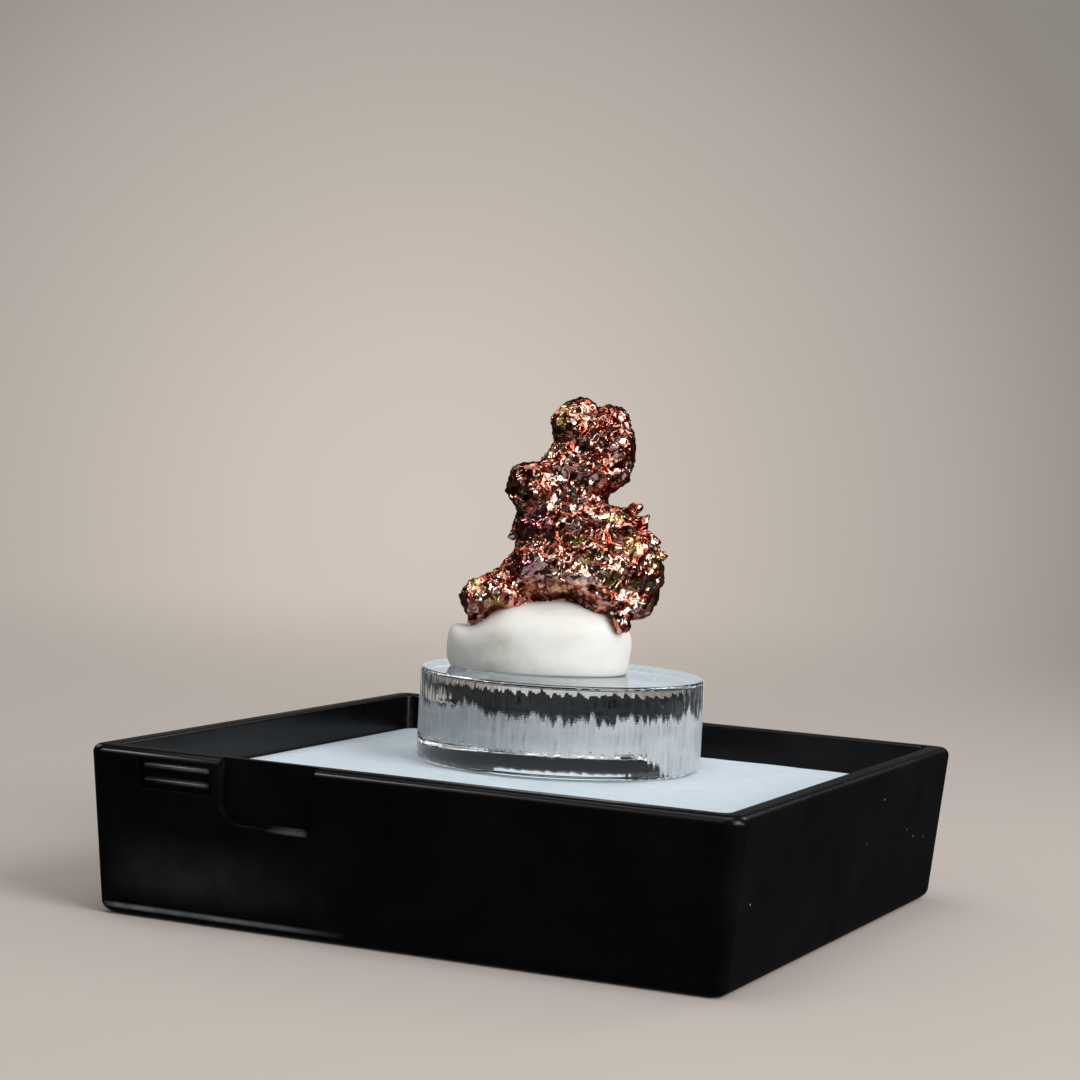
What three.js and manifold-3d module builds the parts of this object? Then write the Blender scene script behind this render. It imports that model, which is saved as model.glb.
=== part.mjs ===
// A native copper nugget pressed into white putty on a clear acrylic disc, standing on the foam pad of a
// small black specimen tray.
// Units are millimetres and +Z is up. The origin is the centre of the tray's underside, and the wall with
// the finger notch faces -Y.
import * as THREE from "three";
import { ImprovedNoise } from "three/addons/math/ImprovedNoise.js";
import { mergeVertices } from "three/addons/utils/BufferGeometryUtils.js";
import Module from "manifold-3d";

const wasm = await Module();
wasm.setup();

// Driving dimensions of the tray, a thumbnail specimen box's base of 1 1/4 inch.
const TRAY_SIDE = 32;
const TRAY_HEIGHT = 7.85;
const TRAY_DRAFT = 0.64;
const TRAY_WALL = 1.05;
const TRAY_FLOOR = 1.2;
const TRAY_CORNER = 0.85;
const INNER_CORNER = 0.5;
// The inside of a wall leans by this share of the outside's draft.
const INNER_LEAN = 0.5;
const RIM_ROUND = 0.4;
const FOOT_ROUND = 0.6;
const CORNER_STEPS = 4;

// The finger notch and the lid catch beside it, both on the wall that faces -Y.
const NOTCH = { left: -9.0, right: -4.1, bottom: 4.85, corner: 1.1, depth: 0.55 };
const CATCH = { left: -13.2, right: -9.35, bottom: 6.05, top: 7.45, depth: 0.32 };
const CATCH_RIB_HEIGHTS = [6.42, 7.12];
const CATCH_RIB_RADIUS = 0.2;
const CATCH_RIB_MARGIN = 0.15;
// How far a cutter reaches out past the face that it cuts.
const CUTTER_REACH = 1;

// The foam pad: its edge lies lower than its middle, where the disc stands.
const PAD_EDGE_DROP = 1.85;
const PAD_MIDDLE_DROP = 1.45;
const PAD_SHOULDER = 2.6;
const PAD_CLEARANCE = 0.1;
const PAD_CORNER = 0.8;

// The disc, placed towards the back of the tray.
const DISC_RADIUS = 7.2;
const DISC_HEIGHT = 4.55;
const DISC_CENTRE = { x: -1.49, y: 5.1 };
const DISC_SEGMENTS = 48;
const DISC_CHAMFER = 0.12;

// The nugget and its putty are described facing the viewer, who stands this far round from the notched wall.
const FACING = THREE.MathUtils.degToRad(23);
const CONTACT_GAP = 0.03;

// Large lumps of the nugget, measured from the middle of the disc's top: x to the right, y away from the
// viewer, z up. `detail` sets how finely a lump is faceted, and `crust` how thickly nodules grow on it.
const LUMPS = [
  { name: "crown", at: [0.75, 0.35, 12.0], size: [1.7, 1.55, 1.55], detail: 3, crust: 0.5 },
  { name: "crown_left", at: [-0.2, -0.25, 12.55], size: [1.0, 1.15, 1.0], detail: 2, crust: 0.5 },
  { name: "crown_top", at: [0.3, 0.0, 13.1], size: [0.9, 0.95, 0.78], detail: 2, crust: 0.3 },
  { name: "crown_corner", at: [1.85, -0.1, 12.8], size: [0.85, 1.0, 0.8], detail: 2, crust: 0.3 },
  { name: "crown_right", at: [2.12, -0.25, 11.5], size: [1.0, 1.2, 1.1], detail: 2, crust: 0.7 },
  { name: "neck", at: [1.0, -0.1, 10.3], size: [1.55, 1.45, 1.4], detail: 3, crust: 0.6 },
  { name: "neck_right", at: [1.95, -0.1, 10.45], size: [0.95, 1.1, 0.95], detail: 2, crust: 0.5 },
  { name: "neck_left", at: [-0.45, -0.25, 10.6], size: [1.05, 1.1, 0.95], detail: 2, crust: 0.5 },
  { name: "shoulder", at: [-1.88, -0.5, 9.22], size: [1.32, 1.3, 1.36], detail: 3, crust: 0.2 },
  { name: "spine", at: [0.0, 0.15, 8.9], size: [1.75, 1.5, 1.5], detail: 2, crust: 0.8 },
  { name: "waist", at: [-0.8, 0.1, 7.5], size: [2.05, 1.85, 1.55], detail: 2, crust: 1.3 },
  { name: "breast", at: [0.9, -0.4, 7.8], size: [1.5, 1.4, 1.2], detail: 2, crust: 1.2 },
  { name: "belly", at: [-0.8, -0.1, 5.3], size: [2.15, 2.2, 1.75], detail: 3, crust: 1.1 },
  { name: "hip", at: [1.1, -0.5, 5.7], size: [1.8, 1.85, 1.8], detail: 3, crust: 1.1 },
  { name: "saddle", at: [1.6, -0.3, 4.2], size: [1.7, 1.6, 1.0], detail: 2, crust: 0.9 },
  { name: "foot_bridge", at: [-3.0, -0.6, 3.95], size: [1.45, 1.3, 1.0], detail: 2, crust: 0.9 },
  { name: "foot", at: [-4.3, -0.5, 3.6], size: [1.0, 1.05, 0.92], detail: 2, crust: 0.6 },
  { name: "heel", at: [-4.25, -0.4, 2.75], size: [0.68, 0.8, 0.75], detail: 1, crust: 0.2 },
  { name: "wing_top", at: [2.45, -0.2, 7.25], size: [1.35, 1.4, 1.0], detail: 2, crust: 1.8 },
  { name: "wing", at: [2.95, 0.0, 5.4], size: [1.6, 1.8, 1.8], detail: 3, crust: 1.8 },
  { name: "wing_tip", at: [3.88, -0.1, 4.95], size: [0.9, 1.15, 1.05], detail: 2, crust: 1.7 },
  { name: "wing_low", at: [3.35, -0.3, 3.8], size: [1.1, 1.3, 0.95], detail: 2, crust: 1.3 },
  { name: "tail", at: [2.8, -1.45, 2.8], size: [0.5, 0.55, 0.7], detail: 1, crust: 0 },
  { name: "root", at: [-0.7, 0.4, 2.95], size: [3.0, 2.0, 1.5], detail: 2, crust: 0.2 },
];
// How much broad swells, sharp hollows and fine bumps move a lump's skin, as shares of its size.
const LUMP_RELIEF = { broad: 0.16, hollow: 0.12, fine: 0.07 };
// Single knobs that stand out of the outline.
const KNOBS = [
  { at: [3.2, -0.3, 8.5], radius: 0.3 },
  { at: [3.02, -0.35, 8.12], radius: 0.32 },
  { at: [3.7, -0.2, 7.75], radius: 0.36 },
  { at: [4.15, -0.2, 6.88], radius: 0.42 },
  { at: [-2.78, -0.4, 6.92], radius: 0.3 },
  { at: [-3.95, -0.5, 4.55], radius: 0.3 },
  { at: [-3.0, -0.5, 5.4], radius: 0.34 },
  { at: [2.9, -0.4, 10.95], radius: 0.3 },
  { at: [2.75, -0.3, 12.15], radius: 0.28 },
  { at: [4.6, -0.3, 6.15], radius: 0.3 },
];
// Small blunt crystals scattered over the lumps, above the putty.
const NODULES = 38;
const NODULE_RADIUS = { least: 0.26, most: 0.5 };
const NODULE_SINK = 0.2;
const NODULE_FLOOR = 3.6;

// The putty: a bun that is pushed up in front of the nugget's root and pressed down under its foot.
const PUTTY_CENTRE = [-1.25, 0.35];
const PUTTY_SIZE = [4.65, 3.5, 2.5];
const PUTTY_MIDDLE = 1.15;
const PUTTY_DETAIL = 4;
// How much its upper and lower halves bulge beyond an ellipsoid, and how uneven it is.
const PUTTY_FULLNESS = 0.48;
const PUTTY_UNEVEN = 0.05;
const PUTTY_LIP = { x: 0.1, width: 2.6, rise: 0.28 };
const PUTTY_DIP = { x: -4.6, width: 1.2, rise: -1.0 };

const noise = new ImprovedNoise();
const wallLean = TRAY_DRAFT / TRAY_HEIGHT;
const padTop = TRAY_HEIGHT - PAD_MIDDLE_DROP;
const discTop = padTop + CONTACT_GAP + DISC_HEIGHT;

// Deterministic random numbers from 0 to 1.
function randomSource(seed) {
  let state = seed;
  return () => {
    state = (state + 0x6d2b79f5) | 0;
    let mixed = Math.imul(state ^ (state >>> 15), 1 | state);
    mixed = (mixed + Math.imul(mixed ^ (mixed >>> 7), 61 | mixed)) ^ mixed;
    return ((mixed ^ (mixed >>> 14)) >>> 0) / 2 ** 32;
  };
}

// Booleans

function solidOf(geometry) {
  const bare = geometry.clone();
  bare.deleteAttribute("normal");
  bare.deleteAttribute("uv");
  const merged = mergeVertices(bare, 1e-4);
  return new wasm.Manifold(
    new wasm.Mesh({
      numProp: 3,
      vertProperties: new Float32Array(merged.attributes.position.array),
      triVerts: new Uint32Array(merged.index.array),
    }),
  );
}

function geometryOf(solid) {
  const mesh = solid.getMesh();
  const geometry = new THREE.BufferGeometry();
  geometry.setAttribute("position", new THREE.BufferAttribute(mesh.vertProperties, 3));
  geometry.setIndex(new THREE.BufferAttribute(mesh.triVerts, 1));
  geometry.computeVertexNormals();
  return geometry;
}

// Lofting

// A rounded square's points at one height, anticlockwise seen from above.
function roundedSquare(side, radius, z) {
  const reach = side / 2 - radius;
  const points = [];
  for (let corner = 0; corner < 4; corner += 1) {
    const towards = (corner + 0.5) * (Math.PI / 2);
    const centre = new THREE.Vector3(Math.sign(Math.cos(towards)), Math.sign(Math.sin(towards)), 0);
    centre.multiplyScalar(reach).setZ(z);
    for (let step = 0; step <= CORNER_STEPS; step += 1) {
      const angle = (corner + step / CORNER_STEPS) * (Math.PI / 2);
      const spoke = new THREE.Vector3(Math.cos(angle), Math.sin(angle), 0).multiplyScalar(radius);
      points.push(spoke.add(centre));
    }
  }
  return points;
}

// A closed skin through rings of equal count, with a flat fan over the first ring and the last.
function loft(rings) {
  const count = rings[0].length;
  const points = rings.flat();
  const index = [];
  for (let ring = 0; ring + 1 < rings.length; ring += 1) {
    for (let i = 0; i < count; i += 1) {
      const a = ring * count + i;
      const b = ring * count + ((i + 1) % count);
      index.push(a, b, b + count, a, b + count, a + count);
    }
  }
  const first = points.length;
  const last = first + 1;
  points.push(new THREE.Vector3(0, 0, rings[0][0].z), new THREE.Vector3(0, 0, rings.at(-1)[0].z));
  const lastRing = (rings.length - 1) * count;
  for (let i = 0; i < count; i += 1) {
    const next = (i + 1) % count;
    index.push(first, next, i);
    index.push(last, lastRing + i, lastRing + next);
  }
  const geometry = new THREE.BufferGeometry().setFromPoints(points);
  geometry.setIndex(index);
  return geometry;
}

// Quarter-turn arc of [inset, z] points about a centre.
function arc([inset, z], radius, fromAngle, steps) {
  return Array.from({ length: steps + 1 }, (_, step) => {
    const angle = fromAngle + (step / steps) * (Math.PI / 2);
    return [inset - radius * Math.cos(angle), z + radius * Math.sin(angle)];
  });
}

// Tray

// How far the outside of a wall lies in from the rim's outer edge, at one height.
const leanAt = (z) => wallLean * (TRAY_HEIGHT - z);
// How far the inside of a wall lies in from there.
const innerInset = (z) => TRAY_WALL + leanAt(z) * INNER_LEAN;

function trayShell() {
  const foot = [leanAt(FOOT_ROUND) + FOOT_ROUND, FOOT_ROUND];
  const rim = [RIM_ROUND, TRAY_HEIGHT - RIM_ROUND];
  const profile = [
    ...arc(foot, FOOT_ROUND, -Math.PI / 2, 4),
    ...arc(rim, RIM_ROUND, 0, 2),
    [TRAY_WALL, TRAY_HEIGHT],
    [innerInset(TRAY_FLOOR), TRAY_FLOOR],
  ];
  return loft(
    profile.map(([inset, z]) => {
      const corner = Math.max(TRAY_CORNER - inset, INNER_CORNER);
      return roundedSquare(TRAY_SIDE - 2 * inset, corner, z);
    }),
  );
}

// A U-shaped cutter, open at the rim, that sinks the notch into the wall's outer face.
function notchCutter() {
  const { left, right, bottom, corner, depth } = NOTCH;
  const top = TRAY_HEIGHT + CUTTER_REACH;
  const outline = new THREE.Shape();
  outline.moveTo(left, top);
  outline.lineTo(left, bottom + corner);
  outline.absarc(left + corner, bottom + corner, corner, Math.PI, 1.5 * Math.PI, false);
  outline.lineTo(right - corner, bottom);
  outline.absarc(right - corner, bottom + corner, corner, 1.5 * Math.PI, 2 * Math.PI, false);
  outline.lineTo(right, top);
  const cutter = new THREE.ExtrudeGeometry(outline, {
    depth: depth + CUTTER_REACH,
    bevelEnabled: false,
    curveSegments: 6,
  });
  return cutter.rotateX(Math.PI / 2).translate(0, depth - TRAY_SIDE / 2, 0);
}

// The catch is a shallow window in the wall with two round ribs in it.
function catchWindow() {
  const { left, right, bottom, top, depth } = CATCH;
  const window = new THREE.BoxGeometry(right - left, depth + CUTTER_REACH, top - bottom);
  return window.translate((left + right) / 2, (depth - CUTTER_REACH - TRAY_SIDE) / 2, (top + bottom) / 2);
}

function catchRib(z) {
  const { left, right } = CATCH;
  const length = right - left - 2 * (CATCH_RIB_MARGIN + CATCH_RIB_RADIUS);
  const rib = new THREE.CapsuleGeometry(CATCH_RIB_RADIUS, length, 3, 8).rotateZ(Math.PI / 2);
  return rib.translate((left + right) / 2, CATCH_RIB_RADIUS + leanAt(z) - TRAY_SIDE / 2, z);
}

function trayGeometry() {
  let tray = solidOf(trayShell()).subtract(solidOf(notchCutter())).subtract(solidOf(catchWindow()));
  for (const z of CATCH_RIB_HEIGHTS) tray = tray.add(solidOf(catchRib(z)));
  return geometryOf(tray);
}

// Foam pad

function padGeometry() {
  const sideAt = (z) => TRAY_SIDE - 2 * (innerInset(z) + PAD_CLEARANCE);
  const bottom = TRAY_FLOOR + CONTACT_GAP;
  const edgeTop = TRAY_HEIGHT - PAD_EDGE_DROP;
  const rise = padTop - edgeTop;
  const shoulder = [0, 0.25, 0.5, 0.75, 1].map((share) => {
    const inset = PAD_SHOULDER * share;
    const z = edgeTop + rise * Math.sin((share * Math.PI) / 2);
    return roundedSquare(sideAt(edgeTop) - 2 * inset, PAD_CORNER, z);
  });
  return loft([roundedSquare(sideAt(bottom), PAD_CORNER, bottom), ...shoulder]);
}

// Acrylic disc

function discGeometry() {
  const profile = [
    [0, 0],
    [DISC_RADIUS - DISC_CHAMFER, 0],
    [DISC_RADIUS, DISC_CHAMFER],
    [DISC_RADIUS, DISC_HEIGHT - DISC_CHAMFER],
    [DISC_RADIUS - DISC_CHAMFER, DISC_HEIGHT],
    [0, DISC_HEIGHT],
  ].map(([r, z]) => new THREE.Vector2(r, z));
  return new THREE.LatheGeometry(profile, DISC_SEGMENTS).rotateX(Math.PI / 2);
}

// Nugget

// How far a lump's skin stands out in one direction, as a share of its plain ellipsoid.
function lumpSwell(direction, order) {
  const shift = order * 3.7;
  const at = (frequency) => {
    const { x, y, z } = direction.clone().multiplyScalar(frequency);
    return noise.noise(x + shift, y - shift, z + 2 * shift);
  };
  const hollow = 0.5 - Math.abs(at(2.6));
  return 1 + LUMP_RELIEF.broad * at(1.4) + LUMP_RELIEF.hollow * hollow + LUMP_RELIEF.fine * at(5.2);
}

// The point of a lump's skin in one direction, moved out by `grow`.
function lumpPoint({ at, size }, order, direction, grow) {
  const swell = lumpSwell(direction, order);
  const reach = new THREE.Vector3(...size).multiplyScalar(swell).addScalar(grow);
  return reach.multiply(direction).add(new THREE.Vector3(...at));
}

function lumpGeometry(lump, order, grow) {
  const geometry = new THREE.IcosahedronGeometry(1, lump.detail);
  const position = geometry.attributes.position;
  const direction = new THREE.Vector3();
  for (let i = 0; i < position.count; i += 1) {
    direction.fromBufferAttribute(position, i).normalize();
    position.setXYZ(i, ...lumpPoint(lump, order, direction, grow));
  }
  return geometry;
}

// A nodule is a small blunt copper crystal, turned at random.
function crystalGeometry(radius, random) {
  const crystal = new THREE.IcosahedronGeometry(radius, 0);
  return crystal.rotateX(random() * Math.PI).rotateY(random() * Math.PI).rotateZ(random() * Math.PI);
}

function randomDirection(random) {
  const z = 2 * random() - 1;
  const turn = 2 * Math.PI * random();
  const flat = Math.sqrt(1 - z * z);
  return new THREE.Vector3(flat * Math.cos(turn), flat * Math.sin(turn), z);
}

// True where a point lies inside a lump's plain ellipsoid, a little below its skin.
function insideLump(point, { at, size }) {
  const share = point.clone().sub(new THREE.Vector3(...at)).divide(new THREE.Vector3(...size));
  return share.length() < 0.95;
}

// A lump picked at random, more often where it is large and its crust is thick.
function pickLump(random) {
  const weights = LUMPS.map(({ size, crust }) => crust * size[0] * size[2]);
  let left = random() * weights.reduce((sum, weight) => sum + weight, 0);
  return weights.findIndex((weight) => {
    left -= weight;
    return left <= 0;
  });
}

function noduleGeometries() {
  const random = randomSource(20);
  const nodules = [];
  while (nodules.length < NODULES) {
    const order = pickLump(random);
    const lump = LUMPS[order];
    const radius = THREE.MathUtils.lerp(NODULE_RADIUS.least, NODULE_RADIUS.most, random() ** 2);
    const point = lumpPoint(lump, order, randomDirection(random), -radius * NODULE_SINK);
    const crystal = crystalGeometry(radius, random);
    const hidden = LUMPS.some((other) => other !== lump && insideLump(point, other));
    if (!hidden && point.z > NODULE_FLOOR) nodules.push(crystal.translate(...point));
  }
  return nodules;
}

function knobGeometries() {
  const random = randomSource(5);
  return KNOBS.map(({ at, radius }) => {
    const knob = new THREE.IcosahedronGeometry(radius, 1);
    return knob.rotateZ(random() * Math.PI).translate(...at);
  });
}

// All lumps as one solid, with each skin moved out by `grow`.
function lumpsUnion(grow) {
  return wasm.Manifold.union(LUMPS.map((lump, order) => solidOf(lumpGeometry(lump, order, grow))));
}

function nuggetGeometry() {
  const crystals = [...knobGeometries(), ...noduleGeometries()].map(solidOf);
  return geometryOf(wasm.Manifold.union([lumpsUnion(0), ...crystals]));
}

// Putty

// A rounded rise or dip of the putty's top, centred at one x.
const swellAt = (x, { x: centre, width, rise }) => rise * Math.exp(-(((x - centre) / width) ** 2));

// A squashed bun with a flat underside, highest in the middle and dipped on the left where the foot sits.
function puttyBun() {
  const geometry = new THREE.IcosahedronGeometry(1, PUTTY_DETAIL);
  const position = geometry.attributes.position;
  const direction = new THREE.Vector3();
  for (let i = 0; i < position.count; i += 1) {
    direction.fromBufferAttribute(position, i).normalize();
    const wave = direction.clone().multiplyScalar(1.7);
    const uneven = 1 + PUTTY_UNEVEN * noise.noise(wave.x, wave.y + 4.1, wave.z);
    const full = 1 + PUTTY_FULLNESS * (1 - direction.z ** 2) * direction.z ** 2;
    const x = PUTTY_CENTRE[0] + direction.x * PUTTY_SIZE[0] * uneven * full;
    const y = PUTTY_CENTRE[1] + direction.y * PUTTY_SIZE[1] * uneven * full;
    const top = Math.max(direction.z, 0) * (swellAt(x, PUTTY_LIP) + swellAt(x, PUTTY_DIP));
    const z = PUTTY_MIDDLE + direction.z * PUTTY_SIZE[2] * uneven + top;
    position.setXYZ(i, x, y, Math.max(z, CONTACT_GAP));
  }
  return geometry;
}

function puttyGeometry() {
  return geometryOf(solidOf(puttyBun()).subtract(lumpsUnion(CONTACT_GAP)));
}

// Assembly

function piece(name, geometry, { color, roughness, metalness = 0, opacity = 1 }) {
  const material = new THREE.MeshStandardMaterial({
    color,
    roughness,
    metalness,
    opacity,
    transparent: opacity < 1,
  });
  const mesh = new THREE.Mesh(geometry, material);
  mesh.name = name;
  return mesh;
}

const mounted = new THREE.Group();
mounted.position.set(DISC_CENTRE.x, DISC_CENTRE.y, discTop);
mounted.rotation.z = FACING;
mounted.add(
  piece("copper_nugget", nuggetGeometry(), { color: 0xa8573c, roughness: 0.28, metalness: 1 }),
  piece("mounting_putty", puttyGeometry(), { color: 0xe9ebe6, roughness: 0.75 }),
);

const disc = piece("acrylic_disc", discGeometry(), { color: 0xe4ecf0, roughness: 0.06, opacity: 0.35 });
disc.position.set(DISC_CENTRE.x, DISC_CENTRE.y, padTop + CONTACT_GAP);

const specimen = new THREE.Group();
specimen.add(
  piece("box_tray", trayGeometry(), { color: 0x0b0b0c, roughness: 0.25 }),
  piece("foam_pad", padGeometry(), { color: 0xe6ecf2, roughness: 0.95 }),
  disc,
  mounted,
);

export default specimen;
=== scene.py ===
"""Looks of a native copper nugget set in putty on a clear acrylic disc, in the black base of a specimen box.

Lengths are in millimetres until a mesh, lamp or camera is made, and Blender gets metres. The frame is the
solid part's own: +Z up, the origin at the centre of the base's underside, the notched wall facing -Y.
"""

import math
import random

import bmesh
import bpy
from mathutils import Matrix, Vector, noise


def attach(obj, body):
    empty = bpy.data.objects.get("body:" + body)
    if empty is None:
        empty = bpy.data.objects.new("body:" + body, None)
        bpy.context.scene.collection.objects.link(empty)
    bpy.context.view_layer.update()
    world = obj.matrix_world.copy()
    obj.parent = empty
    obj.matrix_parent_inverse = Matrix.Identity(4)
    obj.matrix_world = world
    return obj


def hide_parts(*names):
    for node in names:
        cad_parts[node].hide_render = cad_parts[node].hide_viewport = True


MM = 0.001

# Camera, fitted to the box base's corners.
EYE = Vector((54.31, -124.77, 24.74))
YAW = math.radians(23.858)
PITCH = math.radians(2.901)
ROLL = math.radians(2.995)
LENS = 93.367
SENSOR = 36.0
PHOTO_WIDTH = 1080

# Tray
TRAY_SIDE = 32.0
TRAY_HEIGHT = 7.85
TRAY_DRAFT = 0.64
TRAY_WALL = 1.05
TRAY_FLOOR = 1.2
TRAY_CORNER = 0.85
INNER_CORNER = 0.5
INNER_LEAN = 0.5
RIM_ROUND = 0.4
INNER_ROUND = 0.14
FOOT_ROUND = 0.6
NOTCH = {"left": -9.0, "right": -4.1, "bottom": 4.85, "corner": 1.1, "depth": 0.55}
CATCH = {"left": -13.2, "right": -9.35, "bottom": 6.05, "top": 7.45, "depth": 0.32}
CATCH_RIB_HEIGHTS = (6.42, 7.12)
CATCH_RIB_RADIUS = 0.2
CATCH_RIB_MARGIN = 0.15
CUTTER_REACH = 1.0
EDGE_BEVEL = 0.09
EDGE_ANGLE = math.radians(40)
CORNER_STEPS = 8
INNER_STEPS = 5
DOME_STEPS = 5
RIB_SIDES = 16
# Measured in from the foot's edge: where the right wall's dust ends, and where the front wall's painted
# highlights fade out.
DUST_DEPTH = 0.3
PAINTED_HIGHLIGHT_DEPTHS = (0.3, 0.8)
DUST_COLOUR = (0.3, 0.3, 0.3)
PAINTED_HIGHLIGHT_COLOUR = (0.19, 0.21, 0.22)
# Painted highlights on the front wall, paler streaks where edges would catch the lamps, in order: a line
# along the foot, a faint painted sheen low on the left, the catch's upper and lower ribs, and the notch's
# bottom. For each: where it starts, is full, starts to fade and ends, along x and along z, and how pale it
# is.
PAINTED_HIGHLIGHTS = [
    {"x": (-15.2, -14.4, -8.0, -2.5), "z": (0.3, 0.42, 0.5, 0.62), "shine": 1.0},
    {"x": (-15.0, -13.0, -9.0, -3.0), "z": (0.7, 1.7, 2.3, 4.2), "shine": 0.07},
    {"x": (-13.2, -10.8, -9.6, -9.4), "z": (7.05, 7.15, 7.28, 7.38), "shine": 0.55},
    {"x": (-12.6, -10.8, -9.8, -9.5), "z": (6.38, 6.46, 6.55, 6.64), "shine": 0.25},
    {"x": (-6.6, -5.4, -4.8, -4.4), "z": (4.7, 4.8, 4.95, 5.05), "shine": 0.5},
]

# Foam pad, with a bulge between the disc and the back wall.
PAD_EDGE_TOP = 6.0
PAD_TOP = 6.4
PAD_BOTTOM = 1.23
PAD_SHOULDER = 2.6
PAD_CLEARANCE = 0.1
PAD_CORNER = 0.8
PAD_BULGE = Vector((-5.2, 12.9, 0.0))
PAD_BULGE_REACH = Vector((3.5, 1.8))
PAD_BULGE_RISE = 0.3
PAD_BULGE_CLEAR = 1.4
PAD_ROLL = 0.4
PAD_SPANS = 44
PAD_MIDDLE = 0.2
PAD_LEAST_CORNER = 0.05
# The size and the height of the waves of the foam's top, and how far they sink it.
PAD_WAVES = [(2.4, 0.06), (0.7, 0.025)]
PAD_SUNK = 0.06

# Acrylic disc
DISC_CENTRE = Vector((-1.49, 5.1, 6.43))
DISC_RADIUS = 7.2
DISC_HEIGHT = 4.55
DISC_TOP = DISC_CENTRE + Vector((0, 0, DISC_HEIGHT))
DISC_CHAMFER = 0.1
SCALLOPS = 76
SCALLOP_DEPTH = 0.04
SCALLOP_SLANT = 0.2
SCALLOP_POINTS = 16
SCALLOP_SEED = 4
SCALLOP_LEAST = 0.3
WALL_ROWS = 36
WALL_WANDER = 0.02
WANDER_PACE = 9
WANDER_RISE = 0.35
# A face belongs to the wall if its normal rises less than WALL_RISE, to a flat end if more than FLAT_RISE.
WALL_RISE = 0.3
FLAT_RISE = 0.9
ACRYLIC_IOR = 1.49
# Shares of the wall's height, from the top, between which the saw left its front half matt. The matt band
# drops to the foot at the viewer's right, past FROST_RIGHT of the radius, and ends FROST_BACK of the radius
# behind the middle. The marks are fainter below the clear strip.
FROST_TOP = 0.32
FROST_BOTTOM = 0.76
FROST_EDGE = 0.035
FROST_RAGGED = [(6, 0.1), (30, 0.09), (90, 0.05)]
FROST_RIGHT = 0.58
FROST_RIGHT_DROP = 1.6
FROST_BACK = 0.1
MARKS_FADE = 0.15
MARKS_BELOW = 0.25
CLEAR, HALF_FROSTED, FROSTED = range(3)

# Putty, described facing the viewer from the middle of the disc's top.
FACING = math.radians(23.0)
PUTTY_CENTRE = Vector((-1.25, 0.35, 1.15))
PUTTY_SIZE = Vector((4.65, 3.5, 2.5))
PUTTY_FULLNESS = 0.48
PUTTY_LIP = {"x": 0.1, "width": 2.6, "rise": 0.12}
PUTTY_DIP = {"x": -4.8, "width": 1.2, "rise": -1.1}
PUTTY_STAIN = (-3.5, -3.0, 0.9)
PUTTY_STAIN_REACH = 1.5
PUTTY_STAIN_COLOUR = (0.5, 0.45, 0.36)
PUTTY_UNEVEN = 0.03
PUTTY_UNEVEN_PACE = 1.7
PUTTY_UNEVEN_AT = Vector((3, 1, 7))
PUTTY_GAP = 0.03
PUTTY_SUBDIVISIONS = 6

# Nugget. Its dents and its patches of tarnish and of painted shade are described facing the viewer, as the
# putty is:
# a dent by where it is, its reach and its push, a patch by its x and z and its reach across and up.
BASE_VOXEL = 0.12
VOXEL = 0.07
SMOOTHING = 0.5
BASE_ROUNDS = 4
FACE_ROUNDS = 1
HOLLOW_ROUNDS = 24
# Nodules. How far one stands out, and its stretch along two axes, are shares of its radius.
NODULES = 2200
NODULE_SEED = 11
NODULE_RADIUS = (0.1, 0.32)
NODULE_SKEW = 2.2
NODULE_SUNK = -0.5
NODULE_OUT_WING = 0.45
NODULE_OUT_BODY = -0.1
NODULE_STRETCH = ((0.75, 1.15), (0.8, 1.2))
NODULE_AXIS = Vector((0.3, 0.5, 0.8))
# The wing is the knobbly part at the right. Nodules grow in patches, with none below CRUST_BOTTOM and few
# above CRUST_TOP.
WING_LEFT = 1.5
WING_TOP = 9.0
CRUST_BOTTOM = 3.2
CRUST_TOP = 8.6
CRUST_PATCH = 1.6
CRUST_LEAST = 0.4
WING_CRUST = 1.3
BODY_CRUST = 0.6
CROWN_CRUST = 0.15
DENTS = [
    {"at": Vector((-0.2, -1.8, 3.6)), "reach": Vector((1.3, 1.6, 0.42)), "push": Vector((0, 1.15, 0))},
    {"at": Vector((3.9, 0, 7.4)), "reach": Vector((0.4, 2.0, 0.26)), "push": Vector((-0.45, 0, -0.25))},
    {"at": Vector((3.45, 0, 8.25)), "reach": Vector((0.25, 2.0, 0.18)), "push": Vector((-0.2, 0, -0.2))},
]
HOLLOW_DEPTH = 0.08
FACE_SEED = 2
FACE_LEAN_PACE = 5.1
FACE_TONE_PACE = 3.7
FACE_LEAST_TURN = 0.3
LARGE_FACES = {"size": 0.8, "lean": 0.4, "most": 0.1, "on_wing": 0.07}
SMALL_FACES = {"size": 0.31, "lean": 0.85, "most": 0.08, "on_wing": 0.012}
SHOULDER = (-1.9, 9.9, 1.1, 0.8)
SHOULDER_CALM = 0.75
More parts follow.
